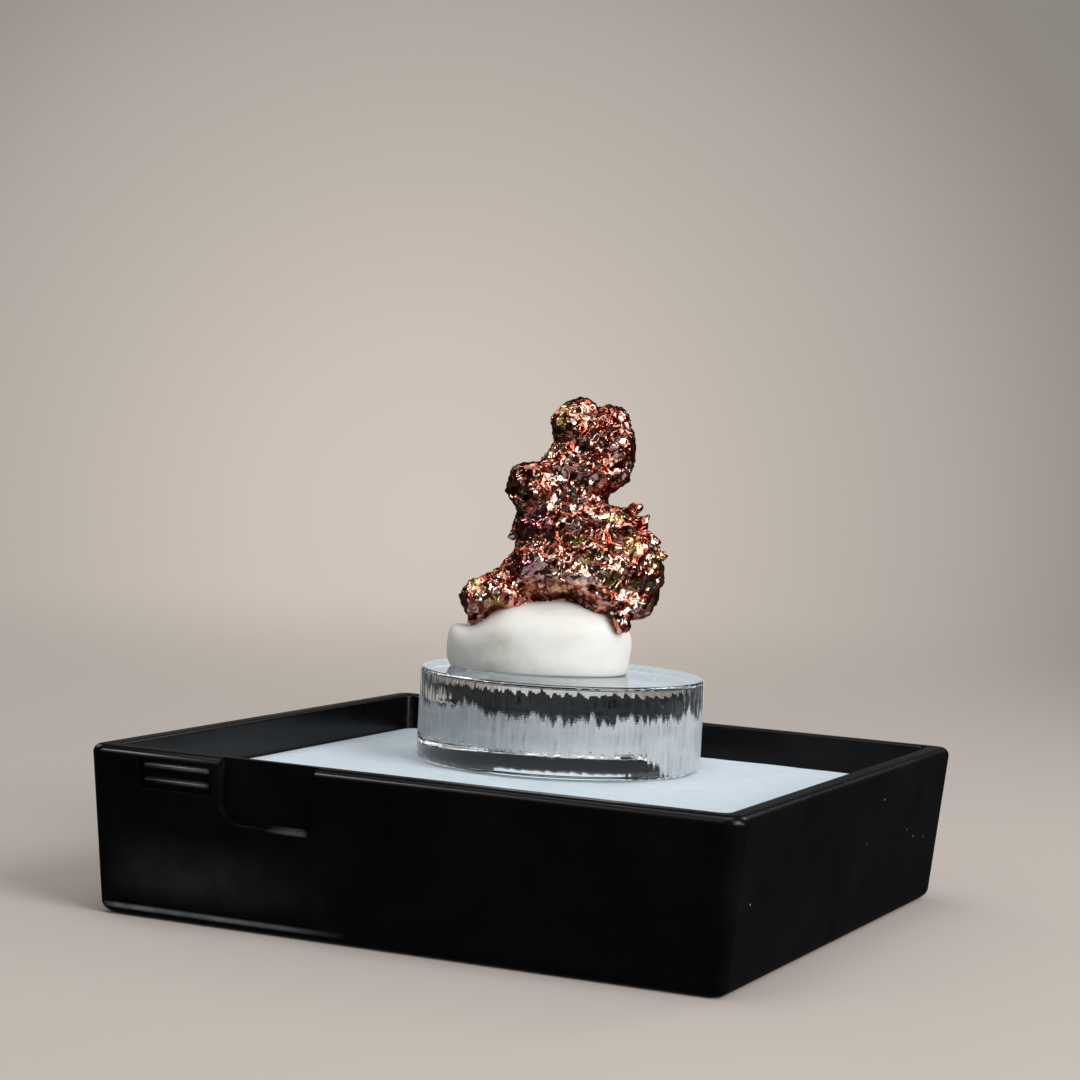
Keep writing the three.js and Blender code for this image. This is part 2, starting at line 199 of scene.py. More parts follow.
TARNISH_AND_SHADE = {
    "brown": [SHOULDER],
    "pink": [(-1.4, 5.2, 1.0, 0.5), (0.7, 4.9, 0.9, 0.45)],
    # Dark patches: painted shade where the skin is tucked away, in the cave above the putty, under the
    # shoulder and under the heel; elsewhere dark tarnish.
    "dark": [
        (-0.1, 3.8, 1.7, 0.5),
        (1.3, 3.65, 0.45, 0.3),
        (-3.2, 2.8, 0.9, 0.25),
        (-1.75, 8.7, 1.1, 0.3),
        (1.1, 13.1, 0.6, 0.35),
        (2.0, 12.3, 0.35, 0.35),
        (-4.2, 2.7, 0.7, 0.45),
        (0.4, 11.3, 0.4, 0.3),
        (-0.7, 5.6, 0.4, 0.35),
        (-0.5, 7.4, 0.9, 0.4),
        (1.0, 7.6, 0.6, 0.35),
        (-2.3, 9.9, 0.4, 0.6),
    ],
    "olive": [
        (-0.7, 12.5, 0.35, 0.55),
        (0.3, 6.8, 0.7, 0.3),
        (1.3, 6.2, 0.5, 0.25),
        (2.15, 4.9, 0.5, 0.5),
        (-2.5, 7.6, 0.2, 0.3),
    ],
    "gold": [
        (2.1, 8.0, 0.7, 0.35),
        (-4.5, 4.2, 0.5, 0.4),
        (-3.7, 3.6, 0.6, 0.35),
        (4.5, 5.9, 0.5, 0.5),
        (3.2, 6.6, 0.5, 0.6),
        (3.4, 4.6, 0.4, 0.4),
        (-0.2, 4.25, 0.6, 0.25),
        (-0.4, 13.4, 0.5, 0.25),
        (0.9, 5.7, 0.5, 0.4),
    ],
    "plum": [(-1.8, 7.8, 0.7, 0.4), (-1.9, 5.4, 0.6, 0.5)],
}
# A patch is broken up by noise of one size, about a mean, and shows where it is stronger than a start.
PATCH_SPECK = 0.35
PATCH_MEAN = 0.75
PATCH_SWING = 0.7
PATCH_START = 0.2
PATCH_GAIN = 2
# Tones of the crystal faces, and tints of the tarnish and of the painted shade in the order in which they
# are laid over them.
TONES = [
    (0.36, (0.24, 0.035, 0.016)),
    (0.5, (0.47, 0.175, 0.115)),
    (0.65, (0.75, 0.43, 0.34)),
    (0.8, (0.92, 0.71, 0.62)),
]
TINTS = {
    "brown": (0.42, 0.13, 0.08),
    "pink": (0.92, 0.58, 0.48),
    "gold": (0.86, 0.54, 0.24),
    "olive": (0.2, 0.16, 0.04),
    "plum": (0.5, 0.2, 0.28),
    # Painted shade, and dark tarnish.
    "dark": (0.07, 0.009, 0.004),
}

# Stage: the backdrop is palest behind the object, towards one pixel of the photograph.
FLOOR_RADIUS = 240.0
FLOOR_FADE = (20.0, 230.0)
FLOOR_COLOUR = (0.5, 0.455, 0.415)
BACKDROP_PIXEL = (430, 520)
BACKDROP_REACH = math.radians(40)
BACKDROP_STOPS = [
    (0.0, (0.64, 0.566, 0.504)),
    (0.09, (0.605, 0.535, 0.476)),
    (0.18, (0.509, 0.455, 0.41)),
    (0.255, (0.44, 0.396, 0.358)),
    (0.37, (0.275, 0.248, 0.228)),
    (0.6, (0.24, 0.23, 0.22)),
]
BACKDROP_EDGE = (math.radians(16), math.radians(30))
MIRRORED_BACKDROP = 0.3
MIRRORED_ROOM = 0.1
FLAG_BEHIND = 10.0
FLAG_HEIGHTS = (7.0, 8.38)
FLAG_REACH = 40.0
LAMP_TARGET = Vector((0, 4, 12))
CLIP_START = 5.0


# Meshes


def new_object(name, mesh):
    made = bpy.data.objects.new(name, mesh)
    bpy.context.scene.collection.objects.link(made)
    return made


def mesh_from(name, points, faces):
    """A mesh of millimetre points."""
    mesh = bpy.data.meshes.new(name)
    mesh.from_pydata([Vector(p) * MM for p in points], [], faces)
    mesh.validate()
    return mesh


def loft(rings):
    """Points and faces of a closed skin through rings of equal count, capped at both ends."""
    count = len(rings[0])
    points = [point for ring in rings for point in ring]
    faces = [list(range(count))[::-1]]
    for ring in range(len(rings) - 1):
        for i in range(count):
            a = ring * count + i
            b = ring * count + (i + 1) % count
            faces.append([a, b, b + count, a + count])
    faces.append([len(points) - count + i for i in range(count)])
    return points, faces


def rounded_square(side, radius, z, steps=12, straight=1):
    """A rounded square's points at one height, anticlockwise from above, with so many spans along a side."""
    reach = side / 2 - radius
    points = []
    for corner in range(4):
        towards = (corner + 0.5) * math.pi / 2
        centre = Vector((reach * math.cos(towards), reach * math.sin(towards), 0)) * math.sqrt(2)
        centre.z = z
        for step in range(steps + 1):
            angle = (corner + step / steps) * math.pi / 2
            points.append(centre + radius * Vector((math.cos(angle), math.sin(angle), 0)))
        along = 2 * reach * Vector((-math.cos(angle - math.pi / 2), -math.sin(angle - math.pi / 2), 0))
        start = points[-1]
        points += [start + along * span / straight for span in range(1, straight)]
    return points


def arc(inset, z, radius, start, steps):
    """A quarter turn of (inset, z) points about a centre."""
    angles = [start + step / steps * math.pi / 2 for step in range(steps + 1)]
    return [(inset - radius * math.cos(a), z + radius * math.sin(a)) for a in angles]


def settled(obj):
    """The object's mesh with its modifiers applied, left in place of the old mesh."""
    depsgraph = bpy.context.evaluated_depsgraph_get()
    mesh = bpy.data.meshes.new_from_object(obj.evaluated_get(depsgraph), depsgraph=depsgraph)
    obj.modifiers.clear()
    obj.data = mesh
    return obj


def shade_smooth(mesh):
    mesh.polygons.foreach_set("use_smooth", [True] * len(mesh.polygons))


# Materials


def add(tree, kind, **settings):
    node = tree.nodes.new(kind)
    for name, value in settings.items():
        setattr(node, name, value)
    return node


def new_material(name, sockets):
    """A material with one shader, its constant values set on the shader's own sockets."""
    material = bpy.data.materials.new(name)
    material.use_nodes = True
    shader = material.node_tree.nodes["Principled BSDF"]
    for socket, value in sockets.items():
        shader.inputs[socket].default_value = value
    return material, material.node_tree, shader


def place(tree, stretch=(1, 1, 1)):
    """Coordinates in millimetres, stretched along the axes."""
    source = add(tree, "ShaderNodeTexCoord")
    mapping = add(tree, "ShaderNodeMapping")
    mapping.inputs["Scale"].default_value = [share / MM for share in stretch]
    tree.links.new(source.outputs["Object"], mapping.inputs["Vector"])
    return mapping.outputs["Vector"]


def noise_of(tree, vector, size, detail=3.0, roughness=0.55):
    """Noise with features of about this many millimetres."""
    node = add(tree, "ShaderNodeTexNoise")
    node.inputs["Scale"].default_value = 1 / size
    node.inputs["Detail"].default_value = detail
    node.inputs["Roughness"].default_value = roughness
    tree.links.new(vector, node.inputs["Vector"])
    return node.outputs["Fac"]


def cells_of(tree, vector, size):
    """The distance from the nearest of scattered points, about this many millimetres apart."""
    node = add(tree, "ShaderNodeTexVoronoi")
    node.inputs["Scale"].default_value = 1 / size
    tree.links.new(vector, node.inputs["Vector"])
    return node.outputs["Distance"]


def ramp(tree, fac, stops):
    """A colour ramp through (position, colour) stops."""
    node = add(tree, "ShaderNodeValToRGB")
    elements = node.color_ramp.elements
    while len(elements) < len(stops):
        elements.new(0.5)
    for element, (position, colour) in zip(elements, stops):
        element.position = position
        element.color = (*colour, 1)
    tree.links.new(fac, node.inputs["Fac"])
    return node.outputs["Color"]


def span(tree, fac, low, high, start=0.0, end=1.0, kind="LINEAR"):
    """A number mapped from start..end to low..high."""
    node = add(tree, "ShaderNodeMapRange", interpolation_type=kind)
    for socket, value in (("From Min", start), ("From Max", end), ("To Min", low), ("To Max", high)):
        node.inputs[socket].default_value = value
    tree.links.new(fac, node.inputs["Value"])
    return node.outputs["Result"]


def blend(tree, fac, first, second):
    """Two colours mixed; each may be a plain colour."""
    node = add(tree, "ShaderNodeMix", data_type="RGBA")
    tree.links.new(fac, node.inputs["Factor"])
    for socket, colour in (("A", first), ("B", second)):
        if isinstance(colour, tuple):
            node.inputs[socket].default_value = (*colour, 1)
        else:
            tree.links.new(colour, node.inputs[socket])
    return node.outputs["Result"]


def bump(tree, shader, layers):
    """Chains bumps of (height, strength, depth in millimetres) into the shader's normal."""
    normal = None
    for height, strength, depth in layers:
        node = add(tree, "ShaderNodeBump")
        node.inputs["Strength"].default_value = strength
        node.inputs["Distance"].default_value = depth * MM
        tree.links.new(height, node.inputs["Height"])
        if normal is not None:
            tree.links.new(normal, node.inputs["Normal"])
        normal = node.outputs["Normal"]
    tree.links.new(normal, shader.inputs["Normal"])


def product(tree, *shares):
    """Numbers from 0 to 1 multiplied."""
    total = shares[0]
    for share in shares[1:]:
        node = add(tree, "ShaderNodeMath", operation="MULTIPLY")
        tree.links.new(total, node.inputs[0])
        tree.links.new(share, node.inputs[1])
        total = node.outputs["Value"]
    return total


def black_plastic():
    """Moulded plastic with faint smears, dust on the right wall, and painted highlights and a painted sheen
    on the front.
    """
    material, tree, shader = new_material("black_plastic", {"IOR": 1.5, "Specular IOR Level": 0.2})
    where = place(tree)
    axes = add(tree, "ShaderNodeSeparateXYZ")
    tree.links.new(where, axes.inputs["Vector"])
    x, y, z = (axes.outputs[name] for name in "XYZ")
    wall = TRAY_SIDE / 2 - TRAY_DRAFT
    shades = [(0.3, (0.0016, 0.0016, 0.002)), (0.7, (0.004, 0.004, 0.0045))]
    base = ramp(tree, noise_of(tree, where, 3.0), shades)
    specks = span(tree, cells_of(tree, where, 0.9), 1, 0, start=0.04, end=0.08)
    patchy = span(tree, noise_of(tree, where, 4.0), 0, 1, start=0.54, end=0.62)
    dust = product(tree, specks, patchy, span(tree, x, 0, 1, wall - DUST_DEPTH, wall))
    colour = blend(tree, dust, base, DUST_COLOUR)
    front = span(tree, y, 1, 0, *(depth - wall for depth in PAINTED_HIGHLIGHT_DEPTHS))
    uneven = span(tree, noise_of(tree, where, 1.2), 0.5, 1, start=0.3, end=0.6)
    # Painted highlights and a faint painted sheen on the front wall: paler streaks where its edges would
    # catch the lamps.
    for streak in PAINTED_HIGHLIGHTS:
        ends = [span(tree, x, 0, streak["shine"], *streak["x"][:2]), span(tree, x, 1, 0, *streak["x"][2:])]
        ends += [span(tree, z, 0, 1, *streak["z"][:2]), span(tree, z, 1, 0, *streak["z"][2:])]
        colour = blend(tree, product(tree, front, uneven, *ends), colour, PAINTED_HIGHLIGHT_COLOUR)
    tree.links.new(colour, shader.inputs["Base Color"])
    smear = noise_of(tree, place(tree, (0.25, 0.25, 1.2)), 1.8, detail=4.0)
    tree.links.new(span(tree, smear, 0.22, 0.3, start=0.35, end=0.7), shader.inputs["Roughness"])
    bump(tree, shader, [(noise_of(tree, where, 3.5, detail=2.0), 0.06, 0.05)])
    return material


def white_foam():
    """Soft bluish white foam with fine fibres."""
    material, tree, shader = new_material(
        "white_foam",
        {"Roughness": 0.95, "Specular IOR Level": 0.15, "Sheen Weight": 0.25, "Sheen Roughness": 0.6},
    )
    where = place(tree)
    tone = noise_of(tree, where, 0.9, detail=4.0)
    colour = ramp(tree, tone, [(0.25, (0.5, 0.6, 0.68)), (0.75, (0.57, 0.67, 0.75))])
    tree.links.new(colour, shader.inputs["Base Color"])
    fibres = noise_of(tree, place(tree, (1, 2.2, 1)), 0.14, detail=4.0, roughness=0.7)
    bump(tree, shader, [(noise_of(tree, where, 0.8), 0.4, 0.12), (fibres, 0.5, 0.05)])
    return material


def plain_acrylic(name, colour, roughness, transmission):
    """Acrylic that looks the same all over."""
    sockets = {
        "Base Color": (*colour, 1),
        "Roughness": roughness,
        "IOR": ACRYLIC_IOR,
        "Transmission Weight": transmission,
    }
    return new_material(name, sockets)[0]


def clear_acrylic():
    """Polished faces: plain transmission."""
    return plain_acrylic("clear_acrylic", (0.96, 0.98, 0.99), roughness=0.03, transmission=1.0)


def half_frosted_acrylic():
    """The edges of the matt band."""
    return plain_acrylic("half_frosted_acrylic", (0.85, 0.89, 0.92), roughness=0.2, transmission=0.8)


def frosted_acrylic():
    """The band of the wall that the saw left matt, with clouds and faint streaks from top to bottom."""
    material, tree, shader = new_material(
        "frosted_acrylic",
        {"Roughness": 0.35, "IOR": ACRYLIC_IOR, "Transmission Weight": 0.5},
    )
    streaks = ramp(
        tree,
        noise_of(tree, place(tree, (3, 3, 0.35)), 0.6, detail=4.0, roughness=0.65),
        [(0.3, (0.34, 0.38, 0.42)), (0.45, (0.6, 0.66, 0.71)), (0.7, (0.8, 0.85, 0.88))],
    )
    cloudy = noise_of(tree, place(tree, (0.5, 0.5, 1.6)), 1.0, detail=4.0)
    clouds = span(tree, cloudy, 0, 0.8, start=0.4, end=0.7)
    tree.links.new(blend(tree, clouds, streaks, (0.82, 0.86, 0.89)), shader.inputs["Base Color"])
    return material


def white_putty():
    """Matt off-white putty with finger marks and a tan stain."""
    material, tree, shader = new_material(
        "white_putty",
        {
            "Roughness": 0.62,
            "Specular IOR Level": 0.3,
            "Subsurface Weight": 0.12,
            "Subsurface Scale": 0.6 * MM,
        },
    )
    where = place(tree)
    clean = ramp(tree, noise_of(tree, where, 2.2), [(0.3, (0.76, 0.77, 0.74)), (0.7, (0.86, 0.87, 0.84))])
    stained = add(tree, "ShaderNodeVectorMath", operation="DISTANCE")
    stained.inputs[1].default_value = turned(PUTTY_STAIN)
    tree.links.new(where, stained.inputs[0])
    near = span(tree, stained.outputs["Value"], 1.0, 0.25, start=0, end=PUTTY_STAIN_REACH)
    patchy = span(tree, noise_of(tree, where, 1.1, detail=4.0), 0, 1, start=0.38, end=0.66)
    stain = product(tree, near, patchy)
    tree.links.new(blend(tree, stain, clean, PUTTY_STAIN_COLOUR), shader.inputs["Base Color"])
    prints = noise_of(tree, where, 0.9)
    bump(tree, shader, [(prints, 0.35, 0.08), (noise_of(tree, where, 0.15), 0.15, 0.02)])
    return material


def attribute(tree, name):
    """A number kept at each of the mesh's points."""
    return add(tree, "ShaderNodeAttribute", attribute_name=name).outputs["Fac"]


def native_copper():
    """Bright crystal faces, painted shade in the hollows and under overhangs, and small patches of other
    tints.
    """
    material, tree, shader = new_material(
        "native_copper",
        {
            "Metallic": 1.0,
            "Specular Tint": (0.9, 0.5, 0.38, 1),
            "Coat Weight": 0.3,
            "Coat Roughness": 0.1,
        },
    )
    where = place(tree)
    colour = ramp(tree, attribute(tree, "tone"), TONES)
    # Tints laid over the faces; the dark one is partly painted shade in hollows and under overhangs.
    for patch, tint in TINTS.items():
        colour = blend(tree, attribute(tree, patch), colour, tint)
    tree.links.new(colour, shader.inputs["Base Color"])
    rough = span(tree, noise_of(tree, where, 0.4), 0.12, 0.28, start=0.3, end=0.7)
    tree.links.new(rough, shader.inputs["Roughness"])
    bump(tree, shader, [(noise_of(tree, where, 0.16, detail=2.0), 0.12, 0.03)])
    return material


# Pieces


def lean_at(z):
    """How far the tray's outside lies in from the rim's outer edge, at one height."""
    return TRAY_DRAFT / TRAY_HEIGHT * (TRAY_HEIGHT - z)


def inner_inset(z):
    """How far the tray's inside lies in from there."""
    return TRAY_WALL + lean_at(z) * INNER_LEAN


def tray_shell():
    """Rounded foot, leaning wall and rounded rim, then down the inside."""
    foot_inset = lean_at(FOOT_ROUND) + FOOT_ROUND
    profile = arc(foot_inset, FOOT_ROUND, FOOT_ROUND, -math.pi / 2, CORNER_STEPS)
    profile += arc(RIM_ROUND, TRAY_HEIGHT - RIM_ROUND, RIM_ROUND, 0, CORNER_STEPS)
    inner_edge = TRAY_WALL - INNER_ROUND
    profile += arc(inner_edge, TRAY_HEIGHT - INNER_ROUND, INNER_ROUND, math.pi / 2, INNER_STEPS)
    profile.append((inner_inset(TRAY_FLOOR), TRAY_FLOOR))
    rings = []
    for inset, z in profile:
        corner = max(TRAY_CORNER - inset, INNER_CORNER)
        rings.append(rounded_square(TRAY_SIDE - 2 * inset, corner, z))
    return loft(rings)


def front_block(outline, depth):
    """A block of an (x, z) outline, from before the tray to a depth behind its front edge."""
    near, far = -TRAY_SIDE / 2 - CUTTER_REACH, -TRAY_SIDE / 2 + depth
    return loft([[(x, far, z) for x, z in outline], [(x, near, z) for x, z in outline]])


def notch_cutter():
    """A U-shaped block, open at the rim."""
    left, right, low, corner = NOTCH["left"], NOTCH["right"], NOTCH["bottom"], NOTCH["corner"]
    top = TRAY_HEIGHT + CUTTER_REACH
    outline = [(left, top)]
    for centre, start in ((left + corner, math.pi), (right - corner, 1.5 * math.pi)):
        for step in range(CORNER_STEPS + 1):
            angle = start + step / CORNER_STEPS * math.pi / 2
            outline.append((centre + corner * math.cos(angle), low + corner + corner * math.sin(angle)))
    outline.append((right, top))
    return front_block(outline, NOTCH["depth"])


def catch_cutter():
    """A flat block that cuts the catch's window."""
    left, right, low, top = CATCH["left"], CATCH["right"], CATCH["bottom"], CATCH["top"]
    return front_block([(left, low), (right, low), (right, top), (left, top)], CATCH["depth"])


def catch_rib(z):
    """A round bar with domed ends, lying in the catch's window."""
    y = CATCH_RIB_RADIUS + lean_at(z) - TRAY_SIDE / 2
    left, right = CATCH["left"] + CATCH_RIB_MARGIN, CATCH["right"] - CATCH_RIB_MARGIN
    dome = [step / DOME_STEPS * math.pi / 2 for step in range(1, DOME_STEPS + 1)]
    ends = [(CATCH_RIB_RADIUS * (1 - math.cos(a)), CATCH_RIB_RADIUS * math.sin(a)) for a in dome]
    sections = [(left + inset, radius) for inset, radius in ends]
    sections += [(right - inset, radius) for inset, radius in reversed(ends)]
    turns = [step / RIB_SIDES * 2 * math.pi for step in range(RIB_SIDES)]
    return loft([[(x, y + r * math.cos(a), z + r * math.sin(a)) for a in turns] for x, r in sections])


def cut(obj, shape, operation):
    """A boolean with a throwaway shape."""
    tool = new_object("tool", mesh_from("tool", *shape))
    change = obj.modifiers.new("cut", "BOOLEAN")
    change.operation = operation
    change.solver = "EXACT"
    change.object = tool
    settled(obj)
    bpy.data.objects.remove(tool)


def make_tray():
    """The moulded shell with its notch and catch, and small rounds along every sharp edge."""
    tray = new_object("tray_moulded", mesh_from("tray_moulded", *tray_shell()))
    cut(tray, notch_cutter(), "DIFFERENCE")
    cut(tray, catch_cutter(), "DIFFERENCE")
    for z in CATCH_RIB_HEIGHTS:
        cut(tray, catch_rib(z), "UNION")
    edge = tray.modifiers.new("edges", "BEVEL")
    edge.width = EDGE_BEVEL * MM
    edge.segments = 3
    edge.limit_method = "ANGLE"
    edge.angle_limit = EDGE_ANGLE
    settled(tray)
    shade_smooth(tray.data)
    tray.modifiers.new("flat_walls", "WEIGHTED_NORMAL")
    settled(tray)
    tray.data.materials.append(black_plastic())
    return tray


def pad_height(point):
    """The foam's top at a point of the plan, before its edge rolls down."""
    soft = sum(height * noise.noise(point / size) for size, height in PAD_WAVES) - PAD_SUNK
    behind = point - PAD_BULGE
    bulge = math.exp(-((behind.x / PAD_BULGE_REACH.x) ** 2) - (behind.y / PAD_BULGE_REACH.y) ** 2)
    from_disc = (point - DISC_CENTRE).to_2d().length - DISC_RADIUS
    clear = min(max(from_disc / PAD_BULGE_CLEAR, 0), 1)
    return PAD_TOP + soft + PAD_BULGE_RISE * bulge * clear


def make_pad():
    """Rings from the bottom's edge up the side, then inwards over the rolled edge and the soft top."""
    side = TRAY_SIDE - 2 * (inner_inset(PAD_EDGE_TOP) + PAD_CLEARANCE)
    low_side = TRAY_SIDE - 2 * (inner_inset(PAD_BOTTOM) + PAD_CLEARANCE)
    counts = {"steps": CORNER_STEPS, "straight": PAD_SPANS}
    rings = [rounded_square(low_side, PAD_CORNER, PAD_BOTTOM, **counts)]
    rings.append(rounded_square(side, PAD_CORNER, PAD_EDGE_TOP - PAD_ROLL, **counts))
    for step in range(PAD_SPANS + 1):
        share = step / PAD_SPANS
        inset = share * (side / 2 - PAD_MIDDLE)
        rise = math.sin(min(inset / PAD_SHOULDER, 1) * math.pi / 2)
        corner = max(PAD_CORNER * (1 - share), PAD_LEAST_CORNER)
        ring = rounded_square(side - 2 * inset, corner, 0, **counts)
        for point in ring:
            point.z = PAD_EDGE_TOP + (pad_height(point) - PAD_EDGE_TOP) * rise
        rings.append(ring)
    pad = new_object("pad_soft", mesh_from("pad_soft", *loft(rings)))
    shade_smooth(pad.data)
    pad.data.materials.append(white_foam())
    return pad


def wall_zone(column, drop):
    """Which of the disc's materials a part of the wall has, at a share of the height down from the top."""
    angle = 2 * math.pi * column / (SCALLOPS * SCALLOP_POINTS)
    around = Vector((math.cos(angle), math.sin(angle), 0))
    ragged = sum(share * noise.noise(around * pace) for pace, share in FROST_RAGGED)
    right, away = viewer_axes()
    past_right = max(around.dot(right) + ragged / 2 - FROST_RIGHT, 0)
    bottom = FROST_BOTTOM + FROST_RIGHT_DROP * past_right + ragged / 3
    inside = min(drop - FROST_TOP - ragged, bottom - drop, FROST_BACK - around.dot(away))
    if inside < 0:
        return CLEAR
    return FROSTED if inside > FROST_EDGE else HALF_FROSTED


def make_disc():
    """A disc whose wall carries slightly slanting saw marks, deepest in its clear top strip."""
    count = SCALLOPS * SCALLOP_POINTS
    random_source = random.Random(SCALLOP_SEED)
    depths = [SCALLOP_DEPTH * random_source.uniform(SCALLOP_LEAST, 1.0) for _ in range(SCALLOPS)]

    def ring(inset, z):
        above_matt = z / DISC_HEIGHT - (1 - FROST_TOP - MARKS_FADE)
        marks = MARKS_BELOW + (1 - MARKS_BELOW) * min(max(above_matt / MARKS_FADE, 0), 1)
        points = []
        for i in range(count):
            angle = 2 * math.pi * i / count
            along = (i / SCALLOP_POINTS + SCALLOP_SLANT * z) % SCALLOPS
            mark = depths[int(along)] * math.sin(math.pi * (along % 1))
            spot = Vector((math.cos(angle) * WANDER_PACE, math.sin(angle) * WANDER_PACE, z * WANDER_RISE))
            wander = WALL_WANDER * noise.noise(spot)
            radius = DISC_RADIUS - inset - marks * (mark + wander + WALL_WANDER)
            points.append(DISC_CENTRE + Vector((radius * math.cos(angle), radius * math.sin(angle), z)))
        return points

    wall_height = DISC_HEIGHT - 2 * DISC_CHAMFER
    rings = [ring(DISC_CHAMFER, 0)]
    rings += [ring(0, DISC_CHAMFER + wall_height * row / WALL_ROWS) for row in range(WALL_ROWS + 1)]
    rings.append(ring(DISC_CHAMFER, DISC_HEIGHT))
    disc = new_object("disc_clear", mesh_from("disc_clear", *loft(rings)))
    for material in (clear_acrylic(), half_frosted_acrylic(), frosted_acrylic()):
        disc.data.materials.append(material)
    for face in disc.data.polygons:
        if abs(face.normal.z) < WALL_RISE:
            row, column = divmod(face.index - 1, count)
            face.material_index = wall_zone(column, 1 - (row - 0.5) / WALL_ROWS)
        face.use_smooth = abs(face.normal.z) < FLAT_RISE
    return disc


def hump(x, shape):
    """The rise of a rounded ridge, or of a dip where it is negative."""
    return shape["rise"] * math.exp(-(((x - shape["x"]) / shape["width"]) ** 2))


def turned(point):
    """A point described facing the viewer, from the middle of the disc's top, put in the frame."""
    return DISC_TOP + Matrix.Rotation(FACING, 3, "Z") @ Vector(point)


def facing_viewer(point):
    """The other way round, from a point of the frame in metres."""
    return Matrix.Rotation(-FACING, 3, "Z") @ (point / MM - DISC_TOP)


def putty_point(direction):
    """The putty's skin in one direction from its middle: a full oval with a lip, a dip and a flat foot."""
    x, y, z = direction
    full = 1 + PUTTY_FULLNESS * (1 - z * z) * z * z
    uneven = 1 + PUTTY_UNEVEN * noise.noise(direction * PUTTY_UNEVEN_PACE + PUTTY_UNEVEN_AT)
    px = PUTTY_CENTRE.x + x * PUTTY_SIZE.x * full * uneven
    py = PUTTY_CENTRE.y + y * PUTTY_SIZE.y * full * uneven
    lift = max(z, 0) * (hump(px, PUTTY_LIP) + hump(px, PUTTY_DIP))
    pz = PUTTY_CENTRE.z + z * PUTTY_SIZE.z * uneven + lift
    return turned((px, py, max(pz, PUTTY_GAP)))


def make_putty():
    bm = bmesh.new()
    bmesh.ops.create_icosphere(bm, subdivisions=PUTTY_SUBDIVISIONS, radius=1)
    for vert in bm.verts:
        vert.co = putty_point(vert.co.normalized()) * MM
    mesh = bpy.data.meshes.new("putty_pressed")
    bm.to_mesh(mesh)
    bm.free()
    putty = new_object("putty_pressed", mesh)
    shade_smooth(mesh)
    mesh.materials.append(white_putty())
    return putty


def surface_samples(mesh, count, random_source):
    """Random points of a mesh, with their normals, spread by area."""
    mesh.calc_loop_triangles()
    triangles = mesh.loop_triangles
    picks = random_source.choices(range(len(triangles)), weights=[t.area for t in triangles], k=count)
    samples = []
    for pick in picks:
        triangle = triangles[pick]
        a, b, c = (mesh.vertices[i].co for i in triangle.vertices)
        u, v = sorted((random_source.random(), random_source.random()))
        samples.append((a * u + b * (v - u) + c * (1 - v), triangle.normal.copy()))
    return samples


def in_wing(local):
    """Whether a point lies in the wing, the knobbly part at the right, which keeps its round nodules."""
    return local.x > WING_LEFT and local.z < WING_TOP


def crust_at(local):
    """How thickly nodules grow, from 0 to 1: little on the crown, much on the wing."""
    if local.z < CRUST_BOTTOM:
        return 0.0
    patchy = 0.5 + 0.5 * noise.noise(local / CRUST_PATCH)
    height = 1.0 if local.z < CRUST_TOP else CROWN_CRUST
    side = WING_CRUST if in_wing(local) else BODY_CRUST
    return min(1.0, height * (CRUST_LEAST + patchy) * side)


def ball():
    """Points and faces of a small sphere of radius 1."""
    bm = bmesh.new()
    bmesh.ops.create_icosphere(bm, subdivisions=2, radius=1)
    points = [vert.co.copy() for vert in bm.verts]
    faces = [[vert.index for vert in face.verts] for face in bm.faces]
    bm.free()
    return points, faces


def with_nodules(mesh, solid):
    """The mesh with small round lumps along the solid's skin, as one mesh of many shells."""
    random_source = random.Random(NODULE_SEED)
    low, high = NODULE_RADIUS
    ball_points, ball_faces = ball()
    points = [vert.co.copy() for vert in mesh.vertices]
    faces = [list(face.vertices) for face in mesh.polygons]
    for point, normal in surface_samples(solid, NODULES, random_source):
        local = facing_viewer(point)
        radius = (low + (high - low) * random_source.random() ** NODULE_SKEW) * MM
        outmost = NODULE_OUT_WING if in_wing(local) else NODULE_OUT_BODY
        out = random_source.uniform(NODULE_SUNK, outmost) * radius
        if random_source.random() > crust_at(local):
            continue
        stretch = [random_source.uniform(*shares) for shares in NODULE_STRETCH]
        shape = Vector((1, *stretch)) * radius
        turn = Matrix.Rotation(random_source.uniform(0, 2 * math.pi), 3, NODULE_AXIS)
        first = len(points)
        points += [point + normal * out + turn @ (shape * p) for p in ball_points]
        faces += [[first + i for i in face] for face in ball_faces]
    lumpy = bpy.data.meshes.new("nugget_crystals")
    lumpy.from_pydata(points, [], faces)
    return lumpy


def remeshed(obj, voxel):
    """One closed skin over all that the object holds."""
    skin = obj.modifiers.new("skin", "REMESH")
    skin.mode = "VOXEL"
    skin.voxel_size = voxel * MM
    return settled(obj)


def smoothed(obj, rounds):
    """Each point drawn towards its neighbours' middle, so many times."""
    soften = obj.modifiers.new("soften", "SMOOTH")
    soften.factor = SMOOTHING
    soften.iterations = rounds
    return settled(obj)


def patch_at(local, patch):
    """How far inside a patch a point lies, from 0 to 1."""
    x, z, across, up = patch
    return math.exp(-(((local.x - x) / across) ** 2) - ((local.z - z) / up) ** 2)


def dent(mesh):
    """Pushes the skin in: a cave just above the putty, and the gaps between the knobs of the wing."""
    turn = Matrix.Rotation(FACING, 3, "Z")
    for vert in mesh.vertices:
        local = facing_viewer(vert.co)
        for hollow in DENTS:
            away = [(a - b) / c for a, b, c in zip(local, hollow["at"], hollow["reach"])]
            vert.co += turn @ hollow["push"] * MM * math.exp(-sum(share * share for share in away))


def tarnish_or_shade_of(mesh, patches):
    """How strong the patches of one tint are at each vertex, from 0 to 1, with ragged edges; the dark ones
    are partly painted shade.
    """
    strengths = []
    for vert in mesh.vertices:
        local = facing_viewer(vert.co)
        ragged = PATCH_MEAN + PATCH_SWING * noise.noise(local / PATCH_SPECK)
        near = max(patch_at(local, patch) for patch in patches)
        strengths.append(min(max((near * ragged - PATCH_START) * PATCH_GAIN, 0), 1))
    return strengths


